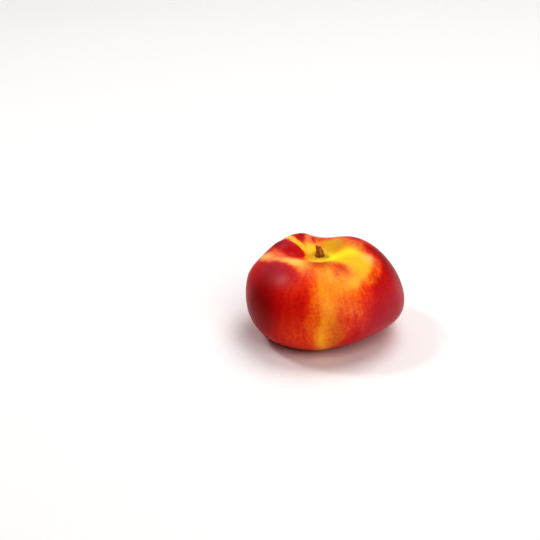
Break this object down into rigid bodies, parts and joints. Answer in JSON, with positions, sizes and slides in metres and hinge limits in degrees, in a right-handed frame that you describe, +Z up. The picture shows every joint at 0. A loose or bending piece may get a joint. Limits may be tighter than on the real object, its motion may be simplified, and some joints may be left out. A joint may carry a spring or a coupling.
{
  "type": "flat nectarine",
  "caption": "Squat, lobed, smooth-skinned stone fruit with a stub of its woody stalk in the hollow on top, resting on a small flat spot.",
  "frame": {"origin": "on the table, under the middle of the fruit's bounding box", "axes": "+Z up along the fruit's short axis, towards the stalk; the suture is at the back left, and -Y is the side with the yellow column"},
  "size_m": [0.0692, 0.0686, 0.0398],
  "materials": {
    "fruit_skin": null,
    "stalk_bark": "dry, rough, brown bark with a paler broken top"
  },
  "bodies": {
    "root": {"fruit": "fruit_skin", "stalk": "stalk_bark"}
  },
  "joints": []
}
